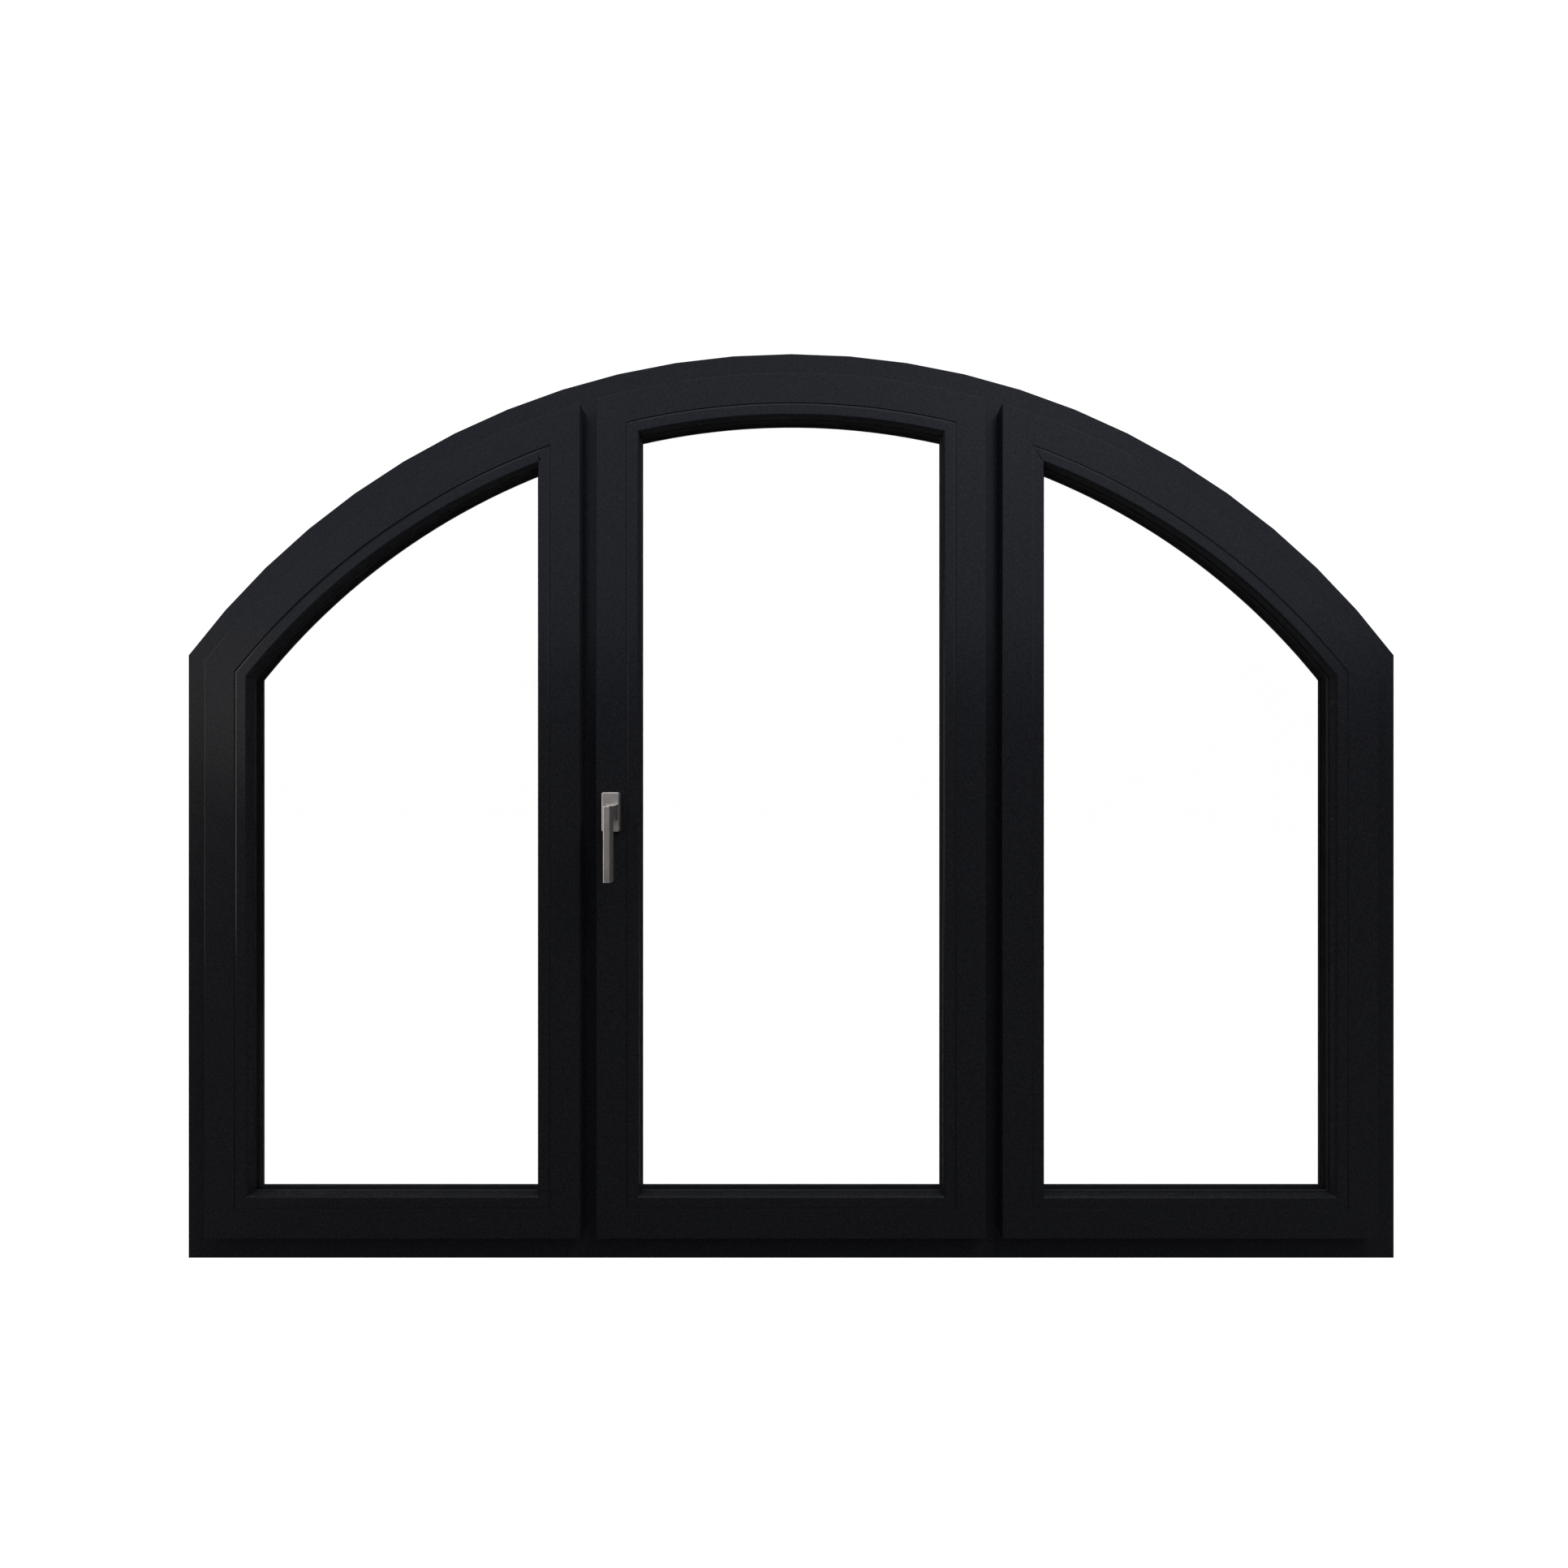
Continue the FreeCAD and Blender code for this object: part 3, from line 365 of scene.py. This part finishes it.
def ring_tree(name, section, material):
    """Tree that draws a closed section along a line: each step is an extrusion inwards and in depth."""
    tree = bpy.data.node_groups.new(name, "GeometryNodeTree")
    face = tree.interface
    face.new_socket("Geometry", in_out="OUTPUT", socket_type="NodeSocketGeometry")
    face.new_socket("Geometry", in_out="INPUT", socket_type="NodeSocketGeometry")
    for label in ("Width", "Depth", "Front"):
        socket = face.new_socket(label, in_out="INPUT", socket_type="NodeSocketFloat")
        socket.subtype = "DISTANCE"
    nodes, links = tree.nodes, tree.links
    entry = nodes.new("NodeGroupInput")
    way = nodes.new("GeometryNodeInputNamedAttribute")
    way.data_type = "FLOAT_VECTOR"
    way.inputs["Name"].default_value = "inward"

    def scaled(socket, factor):
        node = nodes.new("ShaderNodeMath")
        node.operation = "MULTIPLY"
        links.new(socket, node.inputs[0])
        node.inputs[1].default_value = factor
        return node.outputs["Value"]

    def step_vector(across, depth):
        inwards = nodes.new("ShaderNodeVectorMath")
        inwards.operation = "SCALE"
        links.new(way.outputs["Attribute"], inwards.inputs[0])
        links.new(across, inwards.inputs["Scale"])
        backwards = nodes.new("ShaderNodeCombineXYZ")
        links.new(depth, backwards.inputs["Y"])
        both = nodes.new("ShaderNodeVectorMath")
        both.operation = "ADD"
        links.new(inwards.outputs["Vector"], both.inputs[0])
        links.new(backwards.outputs["Vector"], both.inputs[1])
        return both.outputs["Vector"]

    move = nodes.new("GeometryNodeSetPosition")
    links.new(entry.outputs["Geometry"], move.inputs["Geometry"])
    first = nodes.new("ShaderNodeMath")
    first.operation = "ADD"
    links.new(entry.outputs["Front"], first.inputs[0])
    links.new(scaled(entry.outputs["Depth"], section[0][1]), first.inputs[1])
    links.new(step_vector(scaled(entry.outputs["Width"], section[0][0]), first.outputs["Value"]),
              move.inputs["Offset"])
    body, top = move.outputs["Geometry"], None
    for (u0, w0), (u1, w1) in zip(section, section[1:] + section[:1]):
        extrude = nodes.new("GeometryNodeExtrudeMesh")
        extrude.mode = "EDGES"
        extrude.inputs["Offset Scale"].default_value = 0.0
        links.new(body, extrude.inputs["Mesh"])
        if top:
            links.new(top, extrude.inputs["Selection"])
        shift = nodes.new("GeometryNodeSetPosition")
        links.new(extrude.outputs["Mesh"], shift.inputs["Geometry"])
        links.new(extrude.outputs["Top"], shift.inputs["Selection"])
        links.new(step_vector(scaled(entry.outputs["Width"], u1 - u0),
                              scaled(entry.outputs["Depth"], w1 - w0)),
                  shift.inputs["Offset"])
        body, top = shift.outputs["Geometry"], extrude.outputs["Top"]
    merge = nodes.new("GeometryNodeMergeByDistance")
    merge.inputs["Distance"].default_value = 0.000004
    links.new(body, merge.inputs["Geometry"])
    smooth = nodes.new("GeometryNodeSetShadeSmooth")
    links.new(merge.outputs["Geometry"], smooth.inputs["Geometry"])
    angle = nodes.new("GeometryNodeInputMeshEdgeAngle")
    sharp = nodes.new("FunctionNodeCompare")
    sharp.data_type = "FLOAT"
    sharp.operation = "GREATER_THAN"
    links.new(angle.outputs["Unsigned Angle"], sharp.inputs[0])
    sharp.inputs[1].default_value = math.radians(30)
    crease = nodes.new("GeometryNodeSetShadeSmooth")
    crease.domain = "EDGE"
    links.new(smooth.outputs["Geometry"], crease.inputs["Geometry"])
    links.new(sharp.outputs["Result"], crease.inputs["Selection"])
    crease.inputs["Shade Smooth"].default_value = False
    real = nodes.new("GeometryNodeRealizeInstances")
    links.new(crease.outputs["Geometry"], real.inputs["Geometry"])
    paint = nodes.new("GeometryNodeSetMaterial")
    paint.inputs["Material"].default_value = material
    links.new(real.outputs["Geometry"], paint.inputs["Geometry"])
    leave = nodes.new("NodeGroupOutput")
    links.new(paint.outputs["Geometry"], leave.inputs["Geometry"])
    return tree


def run_tree(piece, tree, values):
    """Apply a tree to a piece and leave a plain mesh with its faces outwards."""
    modifier = piece.modifiers.new(tree.name, "NODES")
    modifier.node_group = tree
    for item in tree.interface.items_tree:
        if item.item_type == "SOCKET" and item.in_out == "INPUT" and item.name in values:
            modifier[item.identifier] = values[item.name]
    graph = bpy.context.evaluated_depsgraph_get()
    mesh = bpy.data.meshes.new_from_object(piece.evaluated_get(graph), depsgraph=graph)
    piece.modifiers.remove(modifier)
    piece.data = mesh
    shell = bmesh.new()
    shell.from_mesh(mesh)
    bmesh.ops.recalc_face_normals(shell, faces=shell.faces)
    shell.to_mesh(mesh)
    shell.free()
    return piece


# Outlines of the rubbers: each point is a share of the width inwards and a share of the depth
# towards the outside

GLASS_LIP_SECTION = [
    (0.0, 0.0), (0.815, 0.0), (0.86, 0.03), (0.885, 0.14), (0.885, 0.26), (0.92, 0.29),
    (0.945, 0.38), (0.945, 0.50), (0.975, 0.54), (1.0, 0.66), (1.0, 0.80), (0.975, 0.92),
    (0.935, 1.0), (0.60, 1.0), (0.58, 0.90), (0.40, 0.90), (0.38, 1.0), (0.0, 1.0),
]
OUTER_LIP_SECTION = [
    (0.0, 0.0), (0.34, 0.0), (0.36, 0.14), (0.62, 0.14), (0.64, 0.0), (0.95, 0.0),
    (0.99, 0.12), (1.0, 0.34), (0.975, 0.46), (0.975, 0.56), (1.0, 0.66), (0.995, 0.88),
    (0.96, 1.0), (0.0, 1.0),
]
BULB_SECTION = [
    (0.0, 0.55), (0.0, 1.0), (0.30, 1.0), (0.33, 0.88), (0.67, 0.88), (0.70, 1.0),
    (1.0, 1.0), (1.0, 0.55), (0.97, 0.35), (0.88, 0.17), (0.74, 0.05), (0.58, 0.0),
    (0.42, 0.0), (0.26, 0.05), (0.12, 0.17), (0.03, 0.35),
]


def softened(corners):
    """Closed outline through corners (across, deep, radius), each rounded in steps of 15 degrees.

    A short step beside each rounding keeps the flat sides flat under smooth shading.
    """
    outline = []
    for index, (across, deep, radius) in enumerate(corners):
        corner = Vector((across, deep))
        back = (Vector(corners[index - 1][:2]) - corner).normalized()
        onward = (Vector(corners[(index + 1) % len(corners)][:2]) - corner).normalized()
        turn = math.pi - back.angle(onward)
        reach = radius * math.tan(turn / 2)
        centre = corner + (back + onward).normalized() * (radius / math.cos(turn / 2))
        start, end = corner + back * reach, corner + onward * reach
        outline.append(start + back * 0.00015)
        steps = max(2, math.ceil(math.degrees(turn) / 15))
        first = math.atan2(*reversed(start - centre))
        sweep = math.remainder(math.atan2(*reversed(end - centre)) - first, math.tau)
        for step in range(steps + 1):
            angle = first + sweep * step / steps
            outline.append(centre + radius * Vector((math.cos(angle), math.sin(angle))))
        outline.append(end + onward * 0.00015)
    return outline


def bead_section(finishes, depth):
    """Glazing bead: a groove and a gentle slope beside the sash face, a bevel beside the glass."""
    width = finishes.bead_width
    gap, gap_depth = finishes.bead_gap, finishes.bead_gap * 4
    slope, drop = finishes.bead_slope_width, finishes.bead_slope_width * math.tan(math.radians(15))
    bevel = finishes.bead_bevel
    outline = softened([
        (0.0, gap_depth, 0.0001), (gap, gap_depth, 0.0001), (gap, drop, 0.0003),
        (gap + slope, 0.0, 0.0008), (width - bevel, 0.0, 0.0008), (width, bevel, 0.0008),
        (width, depth, 0.0004), (0.0, depth, 0.0004),
    ])
    return [(across / width, deep / depth) for across, deep in outline]


def fit_ring(name, sashes, nodes, section, width, material):
    """Ring with its real section round the sashes, in the place of the plain nodes."""
    boxes = [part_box(node) for node in nodes]
    start = min(low.x for low, _ in boxes) - sash_outline(sashes[0])[0]
    front = min(low.y for low, _ in boxes)
    depth = max(high.y for _, high in boxes) - front
    path = ring_path(name, sashes, start)
    tree = ring_tree(f"{name}_section", section, material)
    ring = run_tree(path, tree, {"Width": width, "Depth": depth, "Front": front})
    if not ring.data.polygons:
        raise RuntimeError(f"{name} has no faces")
    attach(ring, "window")
    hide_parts(*nodes)


# Operators

class WINDOW_OT_coat_profiles(bpy.types.Operator):
    """Give frame, mullions and sashes their matt grained surface, and the drain caps theirs"""
    bl_idname = "window.coat_profiles"
    bl_label = "Coat Profiles"

    def execute(self, context):
        coat(named("frame_", "_mullion"), profile_material("frame_profile_finish"))
        # Painted light: the sashes get the frame's plastic painted 8% lighter, a lit copy of the same
        # material.
        coat(named("_rail", "_stile"), profile_material("sash_profile_painted_light_finish", 1.08))
        coat(["drain_caps"], rubber_material("drain_cap_plastic", (0.012, 0.012, 0.013)))
        return {"FINISHED"}


class WINDOW_OT_fit_beads(bpy.types.Operator):
    """Fit glazing beads with soft edges, one ring in each sash"""
    bl_idname = "window.fit_beads"
    bl_label = "Fit Beads"

    def execute(self, context):
        finishes, _ = settings()
        # Painted light: the beads get the frame's plastic painted 8% lighter, the same lit copy as the
        # sashes.
        finish = profile_material("bead_profile_painted_light_finish", 1.08)
        for side in SIDES:
            nodes = named(f"{side}_sash_bottom_bead", f"{side}_sash_left_bead",
                          f"{side}_sash_right_bead", f"{side}_sash_arched_bead")
            low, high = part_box(f"{side}_sash_bottom_bead")
            fit_ring(f"{side}_sash_soft_bead", [side], nodes, bead_section(finishes, high.y - low.y),
                     finishes.bead_width, finish)
        return {"FINISHED"}


class WINDOW_OT_glaze(bpy.types.Operator):
    """Give the panes clear glass and the spacer bars dull plastic"""
    bl_idname = "window.glaze"
    bl_label = "Glaze Sashes"

    def execute(self, context):
        coat(named("_pane"), glass_material("clear_glass"))
        coat(["spacer_bars"], rubber_material("spacer_finish", (0.004, 0.004, 0.004), 0.15))
        return {"FINISHED"}


class WINDOW_OT_fit_gaskets(bpy.types.Operator):
    """Fit lipped gaskets on both sides of the glass and bulb seals round the sashes"""
    bl_idname = "window.fit_gaskets"
    bl_label = "Fit Gaskets"

    def execute(self, context):
        finishes, _ = settings()
        rubber = rubber_material("gasket_rubber")
        for node, section, width in (
            ("inner_glazing_gaskets", GLASS_LIP_SECTION, finishes.gasket_width),
            ("outer_glazing_gaskets", OUTER_LIP_SECTION, finishes.gasket_width),
            ("overlap_seals", BULB_SECTION, finishes.seal_width),
            ("rebate_seals", BULB_SECTION, finishes.seal_width),
        ):
            fit_ring(f"{node}_lipped", SIDES, [node], section, width, rubber)
        return {"FINISHED"}


class WINDOW_OT_dress_handle(bpy.types.Operator):
    """Finish the handle in satin metal"""
    bl_idname = "window.dress_handle"
    bl_label = "Dress Handle"

    def execute(self, context):
        finishes, _ = settings()
        satin = metal_material(
            "handle_satin", tuple(finishes.metal_colour), finishes.metal_roughness, metallic=0.92
        )
        coat(["handle_base_plate", "handle_lever"], satin)
        coat(["handle_spindle"], metal_material("spindle_metal", (0.42, 0.42, 0.42), 0.3))
        return {"FINISHED"}


class WINDOW_OT_set_studio(bpy.types.Operator):
    """Set the floor, the lights, the surroundings and the camera"""
    bl_idname = "window.set_studio"
    bl_label = "Set Studio"

    def execute(self, context):
        self.add_floor()
        self.add_world()
        self.add_lights()
        self.add_camera()
        context.scene.view_settings.view_transform = "Standard"
        context.scene.view_settings.look = "None"
        return {"FINISHED"}

    def add_floor(self):
        shell = bmesh.new()
        rings = [[shell.verts.new((0, 0, -0.001))]]
        for radius in (1.0, 3.0, 9.0, 30.0):
            rings.append([
                shell.verts.new((radius * math.cos(turn), radius * math.sin(turn), -0.001))
                for turn in (math.tau * index / 64 for index in range(64))
            ])
        for index in range(64):
            following = (index + 1) % 64
            shell.faces.new((rings[0][0], rings[1][index], rings[1][following]))
            for inner, outer in zip(rings[1:], rings[2:]):
                shell.faces.new((inner[index], outer[index], outer[following], inner[following]))
        mesh = bpy.data.meshes.new("studio_floor")
        shell.to_mesh(mesh)
        shell.free()
        floor = bpy.data.objects.new("studio_floor", mesh)
        bpy.context.scene.collection.objects.link(floor)
        material, nodes, links, shader = new_material("floor_white")
        place = nodes.new("ShaderNodeTexCoord").outputs["Object"]
        cloud = add_noise(nodes, links, place, 0.6)
        links.new(add_tones(nodes, links, cloud, (0.15, 0.15, 0.155), (0.17, 0.17, 0.175)),
                  shader.inputs["Base Color"])
        shader.inputs["Roughness"].default_value = 0.9
        shader.inputs["Emission Color"].default_value = (1, 1, 1, 1)
        shader.inputs["Emission Strength"].default_value = 0.04
        seen = nodes.new("ShaderNodeLightPath")
        glow = nodes.new("ShaderNodeEmission")
        glow.inputs["Color"].default_value = (1, 1, 1, 1)
        glow.inputs["Strength"].default_value = 1.1
        mix = nodes.new("ShaderNodeMixShader")
        links.new(seen.outputs["Is Camera Ray"], mix.inputs["Fac"])
        links.new(shader.outputs["BSDF"], mix.inputs[1])
        links.new(glow.outputs["Emission"], mix.inputs[2])
        links.new(mix.outputs["Shader"], nodes["Material Output"].inputs["Surface"])
        mesh.materials.append(material)

    def add_world(self):
        _, studio = settings()
        world = bpy.data.worlds.new("studio_world")
        world.use_nodes = True
        nodes, links = world.node_tree.nodes, world.node_tree.links
        dim = nodes["Background"]
        dim.inputs["Strength"].default_value = studio.ambient
        place = nodes.new("ShaderNodeTexCoord")
        split = nodes.new("ShaderNodeSeparateXYZ")
        links.new(place.outputs["Generated"], split.inputs["Vector"])
        ramp = nodes.new("ShaderNodeValToRGB")
        ramp.color_ramp.elements[0].position = 0.0
        ramp.color_ramp.elements[0].color = (0.25, 0.25, 0.26, 1)
        ramp.color_ramp.elements[1].position = 1.0
        ramp.color_ramp.elements[1].color = (0.75, 0.75, 0.80, 1)
        middle = ramp.color_ramp.elements.new(0.5)
        middle.color = (1.0, 0.99, 0.99, 1)
        height = nodes.new("ShaderNodeMapRange")
        height.inputs["From Min"].default_value = -1.0
        links.new(split.outputs["Z"], height.inputs["Value"])
        links.new(height.outputs["Result"], ramp.inputs["Fac"])
        links.new(ramp.outputs["Color"], dim.inputs["Color"])
        white = nodes.new("ShaderNodeBackground")
        white.inputs["Color"].default_value = (1, 1, 1, 1)
        white.inputs["Strength"].default_value = 1.1
        seen = nodes.new("ShaderNodeLightPath")
        mix = nodes.new("ShaderNodeMixShader")
        links.new(seen.outputs["Is Camera Ray"], mix.inputs["Fac"])
        links.new(dim.outputs["Background"], mix.inputs[1])
        links.new(white.outputs["Background"], mix.inputs[2])
        links.new(mix.outputs["Shader"], nodes["World Output"].inputs["Surface"])
        bpy.context.scene.world = world

    def add_softbox(self, name, place, target, size, power, colour, lights="all"):
        """Area light turned to a target, which acts on all shading, on matt shading or in reflections."""
        data = bpy.data.lights.new(name, "AREA")
        data.shape = "RECTANGLE"
        data.size, data.size_y = size
        data.energy = power
        data.color = colour
        lamp = bpy.data.objects.new(name, data)
        lamp.location = place
        lamp.rotation_euler = (Vector(target) - Vector(place)).to_track_quat("-Z", "Y").to_euler()
        lamp.visible_camera = False
        lamp.visible_glossy = lights != "matt"
        lamp.visible_diffuse = lights != "reflections"
        lamp.visible_transmission = False
        bpy.context.scene.collection.objects.link(lamp)

    def add_lights(self):
        _, studio = settings()
        self.add_softbox("front_panel", (0.0, -2.0, 2.53), (0.0, 0.0, 2.53), (6.8, 2.1),
                         studio.front_power, (0.70, 0.81, 1.0))
        self.add_softbox("side_panel", (-2.3, -2.0, 1.31), (-2.3, 0.0, 1.31), (1.4, 0.78),
                         studio.side_power, (1.0, 0.92, 0.90))
        self.add_softbox("key_light", (1.2, -1.2, 3.0), (0.2, 0.0, 0.75), (1.4, 1.4),
                         studio.key_power, (1.0, 1.0, 1.0), lights="matt")
        self.add_softbox("left_softbox", (-3.5, -0.6, 0.9), (0.0, -0.6, 0.75), (2.2, 2.5),
                         studio.left_power, (1.0, 0.90, 0.80), lights="reflections")
        self.add_softbox("overhead_softbox", (0.0, -0.6, 3.6), (0.0, -0.6, 0.0), (5.0, 2.2),
                         studio.overhead_power, (0.90, 0.96, 1.0), lights="reflections")
        self.add_softbox("rear_panel", (0.0, 2.0, 3.4), (0.0, 0.0, 0.75), (5.0, 1.2),
                         studio.rear_power, (0.94, 0.97, 1.0), lights="matt")
        self.add_softbox("rear_key", (-1.6, 2.4, 1.3), (0.0, 0.0, 0.75), (1.4, 1.4),
                         studio.rear_power, (1.0, 0.98, 0.95), lights="matt")

    def add_camera(self):
        _, studio = settings()
        low, high = CAD_BOX
        data = bpy.data.cameras.new("photo_camera")
        data.sensor_width = 36.0
        data.lens = studio.focal_length
        data.shift_x = studio.shift_right
        data.shift_y = studio.shift_up
        data.clip_start = 0.01
        camera = bpy.data.objects.new("photo_camera", data)
        camera.location = (0.0, -studio.camera_distance, (low[2] + high[2]) / 2)
        camera.rotation_euler = (math.pi / 2, 0.0, 0.0)
        bpy.context.scene.collection.objects.link(camera)
        bpy.context.scene.camera = camera


class WINDOW_PT_dressing(bpy.types.Panel):
    """Lists the steps that dress the window"""
    bl_idname = "WINDOW_PT_dressing"
    bl_label = "Arched Window"
    bl_space_type = "VIEW_3D"
    bl_region_type = "UI"
    bl_category = "Window"

    def draw(self, context):
        for step in STEPS:
            self.layout.operator(step.bl_idname)
        for group in (context.scene.window_finishes, context.scene.window_studio):
            for name in group.__annotations__:
                self.layout.prop(group, name)


STEPS = (
    WINDOW_OT_coat_profiles,
    WINDOW_OT_fit_beads,
    WINDOW_OT_glaze,
    WINDOW_OT_fit_gaskets,
    WINDOW_OT_dress_handle,
    WINDOW_OT_set_studio,
)
CLASSES = (WindowFinishes, WindowStudio, *STEPS, WINDOW_PT_dressing)


def register():
    for item in CLASSES:
        bpy.utils.register_class(item)
    bpy.types.Scene.window_finishes = PointerProperty(type=WindowFinishes)
    bpy.types.Scene.window_studio = PointerProperty(type=WindowStudio)


def unregister():
    del bpy.types.Scene.window_studio
    del bpy.types.Scene.window_finishes
    for item in reversed(CLASSES):
        bpy.utils.unregister_class(item)


def main():
    register()
    for step in STEPS:
        area, action = step.bl_idname.split(".")
        getattr(getattr(bpy.ops, area), action)()


if __name__ == "__main__":
    main()
